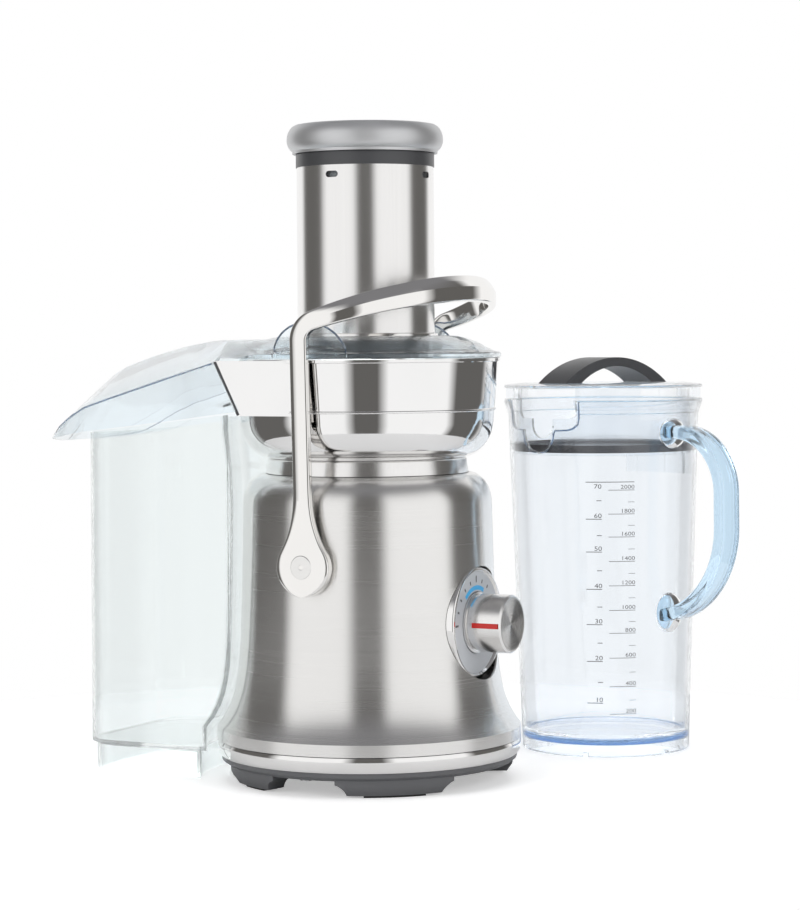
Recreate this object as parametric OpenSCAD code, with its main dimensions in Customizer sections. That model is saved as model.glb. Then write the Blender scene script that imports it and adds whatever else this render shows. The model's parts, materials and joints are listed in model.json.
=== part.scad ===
// Centrifugal juicer: bell-shaped motor base, steel filter bowl, clear cover with a wide feed chute
// and a rear pulp hood, bail-type locking arm, pulp bin, and a lidded juice jug on its own feet.
// Millimetres. The origin is where the motor axis meets the table; the dial faces -Y, the pulp bin
// stands at +Y and the juice nozzle points a little behind +X, past the arm.

/* [Motor base] */
// Radius of the shell at its waist
waist_r = 87; // [85:0.5:88]
// Radius of the shell at its foot
foot_r = 104.6; // [103.6:0.2:104.8]
// Height at which the shoulder of the shell closes on the neck
shell_top = 209; // [208.5:0.1:209.2]
// Thickness of the pressed steel shell
shell_t = 1.2; // [0.8:0.1:1.6]

/* [Speed dial] */
// Height of the dial above the table
dial_z = 109; // [104:1:114]
// Outer radius of the dial's bezel
bezel_r = 37.7; // [36:0.1:37.8]
// Radius of the speed knob
knob_r = 19.6; // [17:0.2:20.4]

/* [Locking arm] */
// Height of the arm's two pivots
pivot_z = 151; // [150:0.5:152]
// Half the distance between the arm's two uprights where they bend forward
arm_x = 98.5; // [98:0.1:99]
// How far the loop of the arm reaches forward from its bend, along its own slope
loop_reach = 70.7; // [66:0.1:74]
// Upward slope of the loop in degrees
loop_tilt = 17.7; // [16:0.1:19]

/* [Bowl and cover] */
// Radius of the bowl under its rim
bowl_r = 91; // [90.8:0.1:91.1]
// Wall thickness of the bowl
bowl_t = 1.4; // [1:0.1:1.6]
// Wall thickness of the clear cover
cover_t = 2.4; // [2:0.1:2.6]
// Inside radius of the feed chute
chute_r = 44; // [43.8:0.1:44.2]
// Height of the top of the feed chute
chute_top = 428; // [420:1:430]

/* [Pulp bin] */
// Half the width of the bin
bin_w = 66; // [62:0.5:66.5]
// How far back the bin's rear wall stands
bin_back = 199; // [195:1:200]
// Wall thickness of the bin
bin_t = 2.2; // [1.8:0.1:2.6]

/* [Juice jug] */
// Place of the jug's axis to the right of the motor axis
jug_x = 195; // [193:1:200]
// Place of the jug's axis in front of the motor axis
jug_y = 92; // [90:1:94]
// Direction in which the jug's notch faces, in degrees from +X
jug_turn = 159.5; // [158:0.5:161]
// Radius of the jug at its foot
jug_foot_r = 61; // [60:0.2:61.4]
// Radius of the jug at its neck
jug_neck_r = 69.9; // [69.6:0.1:70]
// Wall thickness of the jug
jug_t = 2.8; // [2.4:0.1:3]

/* [Hidden] */

$fn = 96;
eps = 0.01;

// Heights of the base, from the table up
pad_h = 1.5;
tray_z = 11.5;
tray_t = 2.5;
ring_z = 17.2;
ring_top = 27.4;
shell_z = 28;
shoulder_z = 188;
neck_r = 70;

// Motor
shaft_r = 4;
bearing_r = 11;
lower_plate_z = 40;
upper_plate_z = 126;
plate_r = 52;
post_r = 47;
stator_r = 42.6;
rotor_r = 27.4;
fan_r = 40.5;
fan_z = 134.5;
seal_z = 200;

// Dial, along -Y
plate_y = 83;
knob_base_y = 88;
knob_face_y = 110;
spindle_r = 3;
marker_w = 3.4;

// Arm
arm_y = -3;
boss_r = 19.7;
boss_in = 89;
boss_out = 98;
pin_r = 5;
bush_r = 7.5;
cap_r = 8;
bend_r = 14;
bend_z = 300;

// Bowl: a quarter ellipse from its foot to its side, then a slight flare to the rim
bowl_z = 219.6;
bowl_foot_r = 66;
collar_top = 219.5;
gasket_z = 218.1;
bowl_side_r = 87.4;
bowl_side_z = 247;
bowl_bead_z = 252.5;
rim_z = 285;
rim_top = 288;
floor_z = 239;
floor_top = 240.6;
hub_tube_r = 20.6;
side_slope = (bowl_r - bowl_side_r) / (rim_z - bowl_side_z);
outlet_z = 262;
wing_y = [50.2, 66.8];
wing_z = [250, 287];

// Nozzle, turned from +X towards the rear so that the arm passes it
spout_turn = 14;
spout_w = 26;
spout_z = [243.6, 258.4];
spout_tip = 128;
spout_t = 1.5;

// Cover
lip_r = 93;
lip_z = 288.3;
crown_r = 58;
crown_z = 303;
hood_top_z = 301;
hood_tip_y = 261.5;
hood_nose_y = 205;
hood_back = 241;
hood_tip_z = 229;
hood_w = 74;
fin_x = 81;
fin_t = 3;
fin_h = 313;
sleeve_r = 47.25;
tube_t = 2.2;
tube_z = 254;
sleeve_z = 303.6;
sleeve_top = 419;

// Basket
basket_z = 247;
basket_top = 284;
basket_low_r = 50;
basket_high_r = 78;

// Pulp bin
bin_floor = 20;
bin_gap = 8;
bin_front = 72;
bin_corner = 30;
bin_rim = [250, 236];

// Jug
jug_h = 256;
jug_rim_r = 73;
jug_floor = [8, 13];
handle_turn = 90;
handle_w = 20;
handle_t = 9.6;
lid_z = 264;
lid_top = 267.5;
lid_skirt_r = 64;
lid_skirt_z = 216;
grip_top = 286;
grip_w = 28;
grip_t = 6.5;
grip_out_r = 84.8;
grip_in_r = 62;

// Outline of the shell: a straight taper with an exponential flare to the foot
function shell_r(z) = min(foot_r, waist_r + 2.9 - 0.0225 * z + 17.5 * exp(-(z - 34) / 18));
function shell_side(t) = [for (z = [shell_z:4:shoulder_z]) [shell_r(z) - t, z]];
function shell_shoulder(t) = let (a = shell_r(shoulder_z) - neck_r, b = shell_top - shoulder_z)
    [for (q = [10:10:90]) [neck_r + (a - t) * cos(q), shoulder_z + (b - t) * sin(q)]];
function backwards(list) = [for (i = [len(list) - 1:-1:0]) list[i]];

module shell_hole(turn, z, r) {
    rotate([0, 0, turn]) translate([60, 0, z]) rotate([0, 90, 0]) cylinder(r = r, h = 60);
}

module ring(r_in, r_out, z0, z1) {
    translate([0, 0, z0]) difference() {
        cylinder(r = r_out, h = z1 - z0);
        translate([0, 0, -1]) cylinder(r = r_in, h = z1 - z0 + 2);
    }
}

// ---- base ----

module foot(turn, half, z0) {
    rotate([0, 0, turn]) difference() {
        rotate([0, 0, -half]) rotate_extrude(angle = 2 * half)
            polygon([[80, z0], [95, z0], [98.4, 7], [98.8, tray_z + 0.5], [80, tray_z + 0.5]]);
        for (s = [-1, 1]) rotate([0, 0, s * (half + 1)]) translate([70, 0, 0])
            rotate([0, 90, 0]) cylinder(r = 9, h = 40);
    }
}

module base_tray() {
    color("dimgray") difference() {
        union() {
            rotate_extrude() polygon([[0, tray_z], [98, tray_z], [101.4, 14], [101.8, ring_z - 0.2],
                [97.2, ring_z - 0.2], [97.2, 26], [94.5, 26], [94.5, tray_z + tray_t],
                [0, tray_z + tray_t]]);
            for (a = [-39, -141]) foot(a, 24, pad_h);
            for (a = [28, 152]) foot(a, 16, pad_h);
            for (a = [45:90:315]) rotate([0, 0, a]) translate([post_r, 0, tray_z])
                cylinder(r = 6, h = 8.5);
        }
        for (a = [0:90:270]) rotate([0, 0, a]) translate([88, 0, 0]) cylinder(r = 2.1, h = 40);
        for (i = [-4:4]) translate([i * 9 - 2, -26, tray_z - 1]) cube([4, 52, 5]);
    }
}

module foot_pads() {
    color("black") {
        for (a = [-39, -141]) rotate([0, 0, a - 13]) rotate_extrude(angle = 26)
            translate([82, 0]) square([11, pad_h]);
        for (a = [28, 152]) rotate([0, 0, a - 7]) rotate_extrude(angle = 14)
            translate([82, 0]) square([11, pad_h]);
    }
}

module base_screws() {
    color("silver") for (a = [0:90:270]) rotate([0, 0, a]) translate([88, 0, 0]) {
        translate([0, 0, tray_z - 2]) cylinder(r = 3.8, h = 2);
        translate([0, 0, tray_z - eps]) cylinder(r = 2, h = 12);
    }
}

module trim_ring() {
    color("lightgray") rotate_extrude() polygon([[97.5, ring_z], [102.3, ring_z], [103.6, 18.8],
        [104.5, 25.6], [103.8, ring_top], [97.5, ring_top]]);
}

module body_shell() {
    color("silver") difference() {
        rotate_extrude() polygon(concat(shell_side(0), shell_shoulder(0),
            backwards(shell_shoulder(shell_t)), backwards(shell_side(shell_t))));
        shell_hole(-90, dial_z, bezel_r + 0.4);
        for (a = [0, 180]) translate([0, arm_y, 0]) shell_hole(a, pivot_z, pin_r + 0.2);
        shell_hole(25, 44, 5.2);
    }
}

module neck_collar() {
    color("silver") rotate_extrude() difference() {
        polygon([[50, 206], [67, 206], [67, 208.4], [69.6, 209.4], [69.6, 211],
            [68.6, 218.6], [67.8, collar_top], [50, collar_top]]);
        translate([52.8, gasket_z - 0.1]) square([3.9, 2]);
    }
}

module bowl_gasket() {
    color("black") ring(53, 56.5, gasket_z, bowl_z - 0.1);
}

module cord_gland() {
    color("black") rotate([0, 0, 25]) translate([0, 0, 44]) rotate([0, 90, 0]) difference() {
        union() {
            translate([0, 0, 89]) cylinder(r = 5, h = 20);
            translate([0, 0, 88]) cylinder(r = 7.4, h = 3);
            for (i = [0:2]) translate([0, 0, 104 + 2.2 * i]) cylinder(r = 6, h = 1.1);
        }
        translate([0, 0, 80]) cylinder(r = 3, h = 30);
    }
}

// ---- motor ----

module motor_frame() {
    color("gray") difference() {
        union() {
            translate([0, 0, lower_plate_z]) cylinder(r = plate_r, h = 4);
            translate([0, 0, upper_plate_z]) cylinder(r = plate_r, h = 5);
            for (a = [45:90:315]) rotate([0, 0, a]) translate([post_r, 0, 30])
                cylinder(r = 4, h = upper_plate_z - 29);
        }
        translate([0, 0, 30]) cylinder(r = bearing_r + 0.05, h = 110);
        for (a = [0:60:300]) rotate([0, 0, a]) translate([30, 0, 30]) cylinder(r = 7, h = 15);
        for (a = [0:60:300]) rotate([0, 0, a]) translate([32, 0, 120]) cylinder(r = 7, h = 15);
    }
}

module motor_dampers() {
    color("black") for (a = [45:90:315]) rotate([0, 0, a]) translate([post_r, 0, 20])
        cylinder(r = 8, h = 10);
}

module stator() {
    color("dimgray") difference() {
        translate([0, 0, 62]) cylinder(r = stator_r, h = 44);
        translate([0, 0, 60]) cylinder(r = rotor_r + 0.6, h = 50);
        for (a = [0:45:315]) rotate([0, 0, a]) translate([rotor_r + 3, -1.5, 60]) cube([7, 3, 50]);
    }
}

module stator_windings() {
    color("peru") for (z = [57, 111]) translate([0, 0, z]) rotate_extrude()
        translate([35, 0]) circle(r = 4.9);
}

module brush_holders() {
    color("goldenrod") for (s = [-1, 1]) {
        translate([s * 21 - 7.4, -4, 112]) cube([14.8, 8, 8]);
        translate([s * 24 - 3, -3, 120 - eps]) cube([6, 6, 6]);
    }
}

module bearing(z) {
    color("silver") rotate_extrude() difference() {
        translate([shaft_r + 0.05, z]) square([bearing_r - shaft_r - 0.05, 7]);
        translate([6.4, z + 6.2]) square([2.4, 1]);
        translate([6.4, z - 0.2]) square([2.4, 1]);
    }
}

module bearing_lower() {
    bearing(lower_plate_z - 3);
}

module bearing_upper() {
    bearing(upper_plate_z);
}

module seal_plate() {
    color("gray") difference() {
        union() {
            translate([0, 0, seal_z]) cylinder(r = 66, h = 6);
            for (a = [45:90:315]) rotate([0, 0, a]) translate([post_r, 0, upper_plate_z + 5])
                cylinder(r = 4, h = seal_z - upper_plate_z - 4);
        }
        translate([0, 0, seal_z - 1]) cylinder(r = 15, h = 8);
    }
}

module shaft_seal() {
    color("black") rotate_extrude() polygon([[shaft_r + 0.06, 203], [shaft_r + 0.06, 205],
        [10, 208], [14.9, 208], [14.9, seal_z], [10, seal_z]]);
}

module control_board() {
    color("darkgreen") translate([-30, 56, 60]) cube([60, 1.6, 70]);
    color("black") {
        translate([-22, 50, 70]) cube([16, 6, 20]);
        translate([6, 48, 72]) cube([14, 8, 26]);
    }
    color("silver") for (x = [-20, 4]) translate([x, 51, 104]) cube([16, 5, 18]);
}

module rotary_switch() {
    color("dimgray") translate([0, 0, dial_z]) rotate([90, 0, 0]) difference() {
        union() {
            translate([0, 0, 57]) cylinder(r = 15, h = 16);
            translate([0, 0, 73 - eps]) cylinder(r = 6, h = 3);
            for (s = [-1, 1]) translate([s * 9 - 2, -4, 53]) cube([4, 8, 5]);
        }
        translate([0, 0, 60]) cylinder(r = spindle_r + 0.1, h = 30);
    }
}

// ---- dial ----

module dial_bezel() {
    color("lightgray") translate([0, 0, dial_z]) rotate([90, 0, 0]) rotate_extrude()
        polygon(concat([[34.4, 74], [bezel_r, 74]],
            [for (q = [0:15:90]) [bezel_r - 1.6 + 1.6 * cos(q), plate_y + 1.6 * sin(q)]],
            [[35.4, plate_y + 1.6], [34.4, plate_y]]));
}

module dial_plate() {
    color("gainsboro") translate([0, 0, dial_z]) rotate([90, 0, 0]) difference() {
        translate([0, 0, 76]) cylinder(r = 34.3, h = plate_y - 76);
        translate([0, 0, 75]) cylinder(r = spindle_r + 0.3, h = 10);
        translate([0, 0, plate_y - 2]) cylinder(r = 20.9, h = 3);
    }
}

module knob_spindle() {
    color("silver") translate([0, 0, dial_z]) rotate([90, 0, 0]) translate([0, 0, 61])
        cylinder(r = spindle_r, h = 40);
}

module speed_knob() {
    color("silver") translate([0, 0, dial_z]) rotate([90, 0, 0]) difference() {
        rotate_extrude() polygon([[spindle_r, plate_y - 1.5], [20.5, plate_y - 1.5],
            [20.5, plate_y + 1], [18.4, plate_y + 1.6], [18.4, knob_base_y], [knob_r, knob_base_y],
            [knob_r, knob_face_y - 1.2], [knob_r - 1.2, knob_face_y], [knob_r - 2.4, knob_face_y],
            [0, knob_face_y - 1.4], [0, 101], [spindle_r, 101]]);
        translate([-knob_r - 1, -marker_w / 2 - 0.05, knob_base_y + 1])
            cube([1.8, marker_w + 0.1, 20]);
    }
}

module knob_marker() {
    color("crimson") translate([-knob_r - 0.2, -knob_base_y - 20, dial_z - marker_w / 2])
        cube([0.95, 18.9, marker_w]);
}

// ---- locking arm ----

// Where the bend ends and the loop starts
bend_turn = 90 - loop_tilt;
loop_y = arm_y - bend_r * (1 - cos(bend_turn));
loop_z = bend_z + bend_r * sin(bend_turn);
upright_steps = 10;
bend_steps = 8;
loop_steps = 24;
arm_sides = 20;

// One ring of the arm: centre, direction of its thickness, direction of its width, two half sizes
function upright_ring(u) = let (z = pivot_z + 10 + (bend_z - pivot_z - 10) * u)
    [[93.5 + (arm_x - 93.5) * u, arm_y, z], [1, 0, 0], [0, 1, 0], 3.5,
        6.25 + 7 * pow(max(0, 1 - u * 3.5), 2)];
function bend_ring(u) = let (q = bend_turn * u)
    [[arm_x, arm_y - bend_r * (1 - cos(q)), bend_z + bend_r * sin(q)], [1, 0, 0],
        [0, cos(q), sin(q)], 3.5, 6.25];
function loop_ring(u) = let (q = 90 * u, s = sin(q), n = [loop_reach * cos(q), arm_x * s] /
        norm([loop_reach * cos(q), arm_x * s]))
    [[arm_x * cos(q), loop_y - loop_reach * s * cos(loop_tilt),
        loop_z + loop_reach * s * sin(loop_tilt)],
        [n.x, -n.y * cos(loop_tilt), n.y * sin(loop_tilt)], [0, sin(loop_tilt), cos(loop_tilt)],
        3.5 + 1 * s, 6.25 + 2.6 * s];
function half_arm() = concat([for (i = [0:upright_steps - 1]) upright_ring(i / upright_steps)],
    [for (i = [0:bend_steps - 1]) bend_ring(i / bend_steps)],
    [for (i = [0:loop_steps]) loop_ring(i / loop_steps)]);
function mirrored(r) = [[-r[0].x, r[0].y, r[0].z], [-r[1].x, r[1].y, r[1].z], r[2], r[3], r[4]];
function all_arm() = let (h = half_arm())
    concat(h, [for (i = [len(h) - 2:-1:0]) mirrored(h[i])]);
// A rounded rectangle: the two half sizes times a signed square root of cosine and sine
function soft(v) = sign(v) * pow(abs(v), 0.55);
function ring_point(r, k) = let (q = 360 * k / arm_sides)
    r[0] + r[1] * r[3] * soft(cos(q)) + r[2] * r[4] * soft(sin(q));

module arm_sweep() {
    rings = all_arm();
    n = len(rings);
    m = arm_sides;
    points = [for (r = rings) for (k = [0:m - 1]) ring_point(r, k)];
    sides = [for (i = [0:n - 2]) for (k = [0:m - 1]) let (a = i * m + k, b = i * m + (k + 1) % m)
        each [[a, b + m, b], [a, a + m, b + m]]];
    polyhedron(points = points, faces = concat(sides, [[for (k = [0:m - 1]) k]],
        [[for (k = [m - 1:-1:0]) (n - 1) * m + k]]), convexity = 8);
}

module locking_arm() {
    color("silver") {
        arm_sweep();
        for (s = [-1, 1]) {
            translate([0, arm_y, pivot_z]) rotate([0, s * 90, 0]) difference() {
                translate([0, 0, boss_in]) cylinder(r = boss_r, h = boss_out - boss_in);
                translate([0, 0, boss_in - 1]) cylinder(r = bush_r, h = 20);
                translate([0, 0, boss_out - 2]) cylinder(r = cap_r + 0.1, h = 5);
            }
            translate([s * 87.5 - 8.5, -12, fin_h + 0.9]) cube([17, 11, 3.4]);
        }
    }
}

module pivot_bushes() {
    color("tan") for (s = [-1, 1]) translate([0, arm_y, pivot_z]) rotate([0, s * 90, 0])
        ring(pin_r + 0.05, bush_r, boss_in, boss_out - 2);
}

module pivot_pins() {
    color("gray") for (s = [-1, 1]) translate([0, arm_y, pivot_z]) rotate([0, s * 90, 0]) {
        translate([0, 0, 80]) cylinder(r = pin_r, h = boss_out - 2.2 - 80);
        translate([0, 0, 78]) cylinder(r = 9, h = 5);
    }
}

module pivot_caps() {
    color("silver") for (s = [-1, 1]) translate([0, arm_y, pivot_z]) rotate([0, s * 90, 0])
        rotate_extrude() polygon([[0, boss_out - 2], [cap_r, boss_out - 2], [cap_r, boss_out - 0.2],
            [cap_r - 0.5, boss_out + 0.3], [1.8, boss_out + 0.3], [1.2, boss_out - 0.6],
            [0, boss_out - 0.6]]);
}

// ---- bowl ----

function bowl_curve(t) = [for (q = [-90:7.5:0]) [bowl_foot_r + (bowl_side_r - bowl_foot_r - t) * cos(q),
    bowl_side_z + (bowl_side_z - bowl_z - t) * sin(q)]];
function bowl_side(z) = bowl_side_r + side_slope * (z - bowl_side_z);

module bowl_wing(s) {
    // the side wall runs on tangentially to the rear and ends in a slanted edge
    slope = atan(side_slope);
    multmatrix([[1, 0, s * side_slope, s * (bowl_side_r - side_slope * bowl_side_z)], [0, 1, 0, 0],
        [0, 0, 1, 0], [0, 0, 0, 1]])
        translate([s > 0 ? -bowl_t : 0, 0, 0]) rotate([90, 0, 90]) linear_extrude(bowl_t)
            polygon([[2, wing_z[0]], [wing_y[0], wing_z[0]], [wing_y[1], wing_z[1]],
                [2, wing_z[1]]]);
}

module filter_bowl() {
    color("silver") difference() {
        union() {
            rotate_extrude() polygon(concat([[52, bowl_z]], bowl_curve(0),
                [[bowl_r, rim_z], [92.3, rim_z + 0.5], [92.3, rim_top - 0.6], [91.7, rim_top],
                [bowl_side(rim_z) - bowl_t, rim_top]],
                [[bowl_side(floor_top + 8) - bowl_t, floor_top + 8],
                [bowl_side_r - 5, floor_top], [hub_tube_r, floor_top], [hub_tube_r, 244],
                [18.6, 244], [18.6, 222], [hub_tube_r, 222], [hub_tube_r, floor_z],
                [bowl_side_r - 5, floor_z]],
                [for (p = backwards(bowl_curve(bowl_t))) if (p.y < floor_z - 1) p],
                [[52, bowl_z + bowl_t]]));
            rotate_extrude() translate([bowl_side(bowl_bead_z), bowl_bead_z]) circle(r = 0.9);
            for (s = [-1, 1]) bowl_wing(s);
            rotate([0, 0, 40]) rotate_extrude(angle = 100) polygon([[88.6, outlet_z],
                [104, 257], [104, 255.4], [88.4, 260.2]]);
        }
        translate([-78, 20, outlet_z]) cube([156, 90, 60]);
        rotate([0, 0, spout_turn]) translate([70, spout_t - spout_w / 2, spout_z[0] + spout_t])
            cube([30, spout_w - 2 * spout_t, spout_z[1] - spout_z[0] - 2 * spout_t]);
    }
}

module juice_spout() {
    color("silver") difference() {
        rotate([0, 0, spout_turn]) difference() {
            translate([80, -spout_w / 2, spout_z[0]])
                cube([spout_tip - 80, spout_w, spout_z[1] - spout_z[0]]);
            translate([70, spout_t - spout_w / 2, spout_z[0] + spout_t])
                cube([60, spout_w - 2 * spout_t, spout_z[1] - spout_z[0] - 2 * spout_t]);
            translate([spout_tip - 14, spout_t - spout_w / 2, spout_z[0] - 1])
                cube([12, spout_w - 2 * spout_t, 4]);
        }
        translate([0, 0, 200]) cylinder(r = bowl_side(spout_z[1]) + 0.3, h = 100);
        translate([0, 0, wing_z[0] - 0.2]) cube([bowl_side(spout_z[1]) + 0.3, 80, 20]);
    }
}

// ---- cover ----

function dome(t) = [for (u = [0:0.125:1]) [88 - 30 * u, 292.4 + (crown_z - 292.4) * sin(90 * u) - t]];
function hood_nose(y) = sqrt(1 - pow(max(0, y - hood_nose_y) / (hood_back - hood_nose_y), 2));
function hood_top(y) = hood_tip_z + (hood_top_z - hood_tip_z) * hood_nose(y) *
    pow(max(0, 1 - pow((max(y, 80) - 80) / (hood_tip_y - 80), 2)), 0.75);
function hood_half(y) = y <= 60 ? 92 : y <= 120 ? hood_w + (92 - hood_w) * (1 + cos(3 * (y - 60))) / 2 :
    y <= 180 ? hood_w : hood_w * pow(max(0, 1 - pow((y - 180) / (hood_back - 180), 2.3)), 1 / 2.3);

hood_end = hood_back - 0.5;
hood_start = 18;
hood_ys = concat([60], [for (y = [70:10:120]) y], [180, 192, 202, 211, 219, 226, 232, 237, hood_end]);
hood_top_ys = concat([for (y = [80:14:206]) y], [214, 221, 227, 232, 236, hood_end]);

// The corner between roof and side wall, as distance back and height
hood_corner = [[hood_start, 294], [68, 286], [112, 276.5], [167, 260.5], [185, 255], [198, 248.5],
    [211, 241], [222, 234], [hood_end, 230]];
roof_slope = 0.5;

module hood_plan(t) {
    right = concat([[91.5 - t, hood_start]],
        [for (y = hood_ys) [hood_half(y) - 0.5 - t, y == hood_end ? y - t : y]]);
    polygon(concat(right, [for (p = backwards(right)) [-p.x, p.y]]));
}

// Seen from the side: flat over the bowl, then falling to the tip, over a slanted lower edge
module hood_side(t, low, high) {
    rotate([90, 0, 90]) translate([0, 0, -100]) linear_extrude(200) polygon(concat(low,
        [for (y = backwards(hood_top_ys)) [y == hood_end ? y - t : y, hood_top(y) - t]], high));
}

// One side of the roof, which slopes down from the middle to the corner line
module hood_roof(s, t) {
    multmatrix([[1, 0, 0, 0], [0, 1, 0, 0], [-s * roof_slope, 0, 1, 0], [0, 0, 0, 1]])
        rotate([90, 0, 90]) translate([0, 0, -100]) linear_extrude(200)
            polygon(concat([[hood_start - 20, 60], [hood_start - 20, 330]],
                [for (p = hood_corner) [p.x, p.y + roof_slope * hood_half(p.x) - t]],
                [[hood_end + 5, 60]]));
}

// Seen from behind: a shallow arch
module hood_arch(t) {
    rotate([90, 0, 0]) translate([0, 0, -300]) linear_extrude(320) polygon(concat([[-95, 150]],
        [for (x = [-95:19:95]) [x, 290.5 + 12 * (1 - pow(abs(x) / 95, 3)) - t]], [[95, 150]]));
}

// Everything under the middle of the dome's thickness
module under_dome() {
    rotate_extrude() polygon(concat([[0, 280], [90, 280], [90, 290.4]], dome(1), [[0, crown_z - 1]]));
}

module hood() {
    difference() {
        intersection() {
            translate([0, 0, 150]) linear_extrude(200) hood_plan(0);
            hood_side(0, [[0, lip_z + 0.4], [wing_y[1] + 1.4, lip_z + 0.4],
                [wing_y[0] + 1.4, 252.8], [186.5, 237.7], [hood_end, hood_tip_z]],
                [[0, hood_top_z + 0.8]]);
            hood_roof(-1, 0);
            hood_roof(1, 0);
            hood_arch(0);
        }
        intersection() {
            translate([0, 0, 150]) linear_extrude(200) hood_plan(cover_t);
            hood_side(cover_t, [[45, 160], [hood_end - cover_t, 160]],
                [[78, 296], [72, 290.9], [45, 290.9]]);
            hood_roof(-1, cover_t);
            hood_roof(1, cover_t);
            hood_arch(cover_t);
        }
        under_dome();
    }
}

module lock_fin(s) {
    translate([s * fin_x - fin_t / 2, 0, 0]) rotate([90, 0, 90]) linear_extrude(fin_t)
        polygon(concat([[-29, 289], [26.5, 289]],
            [for (q = [0:15:90]) [1 + 25.5 * cos(q), 291 + (fin_h - 291) * sin(q)]],
            [for (q = [15:15:90]) [1 - 30 * sin(q), 291 + (fin_h - 291) * pow(cos(q), 1.2)]]));
}

module juicer_cover() {
    color("lightblue", 0.5) difference() {
        union() {
            rotate_extrude() polygon(concat([[lip_r, lip_z], [lip_r, 290.6], [92, 291.6]], dome(0),
                [[46.4, crown_z], [46.4, crown_z - cover_t]],
                [for (p = backwards(dome(cover_t))) if (p.x < 86) p],
                [[86, 291], [86, 284], [88, 284], [88, lip_z]]));
            hood();
            for (s = [-1, 1]) lock_fin(s);
        }
        translate([0, 0, 200]) cylinder(r = 46.4, h = 200);
    }
}

module feed_tube() {
    color("lightblue", 0.5) ring(chute_r, chute_r + tube_t, tube_z, sleeve_top);
}

module slot_cuts(r) {
    for (a = [0:90:270]) rotate([0, 0, a]) translate([r - 4, 0, 412.6]) rotate([0, 90, 0]) {
        translate([0, -2.5, 0]) cylinder(r = 2.15, h = 8, $fn = 32);
        translate([0, 2.5, 0]) cylinder(r = 2.15, h = 8, $fn = 32);
        translate([-2.15, -2.5, 0]) cube([4.3, 5, 8]);
    }
}

module chute_sleeve() {
    color("silver") difference() {
        ring(chute_r + tube_t + 0.1, sleeve_r, sleeve_z, sleeve_top);
        slot_cuts(sleeve_r);
    }
}

module chute_ring() {
    color("dimgray") ring(chute_r, sleeve_r + 0.5, sleeve_top, chute_top);
}

module chute_foot_ring() {
    color("silver") rotate_extrude() polygon([[sleeve_r, crown_z], [49.6, crown_z],
        [49.2, crown_z + 1.4], [sleeve_r, crown_z + 2]]);
}

// ---- pusher ----

module pusher_body() {
    color("dimgray") difference() {
        translate([0, 0, 258]) cylinder(r = chute_r - 0.6, h = chute_top + 1 - 258);
        translate([0, 0, 261]) cylinder(r = chute_r - 3.2, h = 200);
    }
}

module pusher_cap() {
    color("silver") rotate_extrude() polygon(concat([[0, chute_top + 1], [chute_r + 2, chute_top + 1],
        [48, chute_top + 0.4], [50, chute_top + 0.4]],
        [for (q = [-60:15:90]) [46.5 + 7.5 * cos(q), 438 + (q < 0 ? 9 : 10.5) * sin(q)]],
        [[44, 448], [42, 446.6], [20, 447.6], [0, 448]]));
}

// ---- spinning parts ----

module motor_shaft() {
    color("lightgray") translate([0, 0, 34]) cylinder(r = shaft_r, h = 194);
}

module rotor_core() {
    color("dimgray") difference() {
        translate([0, 0, 64]) cylinder(r = rotor_r, h = 40);
        translate([0, 0, 60]) cylinder(r = shaft_r, h = 50);
        for (a = [0:30:330]) rotate([0, 0, a]) translate([rotor_r - 5, -0.8, 60])
            cube([8, 1.6, 50]);
    }
}

module commutator() {
    color("chocolate") difference() {
        translate([0, 0, 110]) cylinder(r = 13, h = 12);
        translate([0, 0, 105]) cylinder(r = shaft_r, h = 20);
    }
}

module cooling_fan() {
    color("dimgray") difference() {
        union() {
            translate([0, 0, fan_z]) cylinder(r = fan_r, h = 2);
            translate([0, 0, fan_z]) cylinder(r = 10, h = 12);
            for (a = [0:36:324]) rotate([0, 0, a]) translate([12, 0, fan_z + 1.9])
                rotate([0, 0, 25]) cube([30, 1.6, 9]);
        }
        translate([0, 0, fan_z - 4]) cylinder(r = shaft_r, h = 20);
        translate([0, 0, fan_z - 4]) ring(fan_r, 60, 0, 30);
    }
}

module drive_coupling() {
    color("dimgray") difference() {
        union() {
            translate([0, 0, 214]) cylinder(r = 11, h = 16);
            for (a = [0:60:300]) rotate([0, 0, a]) translate([9, -1.5, 214]) cube([4, 3, 16]);
        }
        translate([0, 0, 210]) cylinder(r = shaft_r, h = 18);
    }
}

module basket_hub() {
    color("dimgray") difference() {
        union() {
            translate([0, 0, 219]) cylinder(r = 17, h = 28);
            translate([0, 0, 245]) cylinder(r = 26, h = 2);
        }
        translate([0, 0, 215]) cylinder(r = 13.3, h = 15.3);
    }
}

module filter_basket() {
    color("silver") rotate_extrude() polygon([[0, basket_z], [basket_low_r, basket_z],
        [basket_high_r, basket_top], [basket_high_r - 0.9, basket_top],
        [basket_low_r - 0.8, basket_z + 1], [0, basket_z + 1]]);
}

module basket_rim() {
    color("dimgray") ring(basket_high_r - 2, 80.5, basket_top, basket_top + 2.6);
}

module grater_disc() {
    color("silver") {
        translate([0, 0, basket_z + 1]) cylinder(r = 46, h = 1.2);
        for (a = [0:30:330]) for (i = [0:3]) rotate([0, 0, a + 9 * i])
            translate([14 + 8 * i, 0, basket_z + 2]) rotate([0, 0, 20]) cube([4, 1, 1.6]);
    }
}

// ---- pulp bin ----

module bin_plan(t) {
    // straight sides, round rear corners
    w = bin_w - t;
    r = bin_corner - t;
    back = bin_back - t;
    translate([-w, bin_front - 12]) square([2 * w, back - r - bin_front + 12]);
    translate([-w + r, back - r - 1]) square([2 * (w - r), r + 1]);
    for (s = [-1, 1]) translate([s * (w - r), back - r]) circle(r = r);
}

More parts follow.
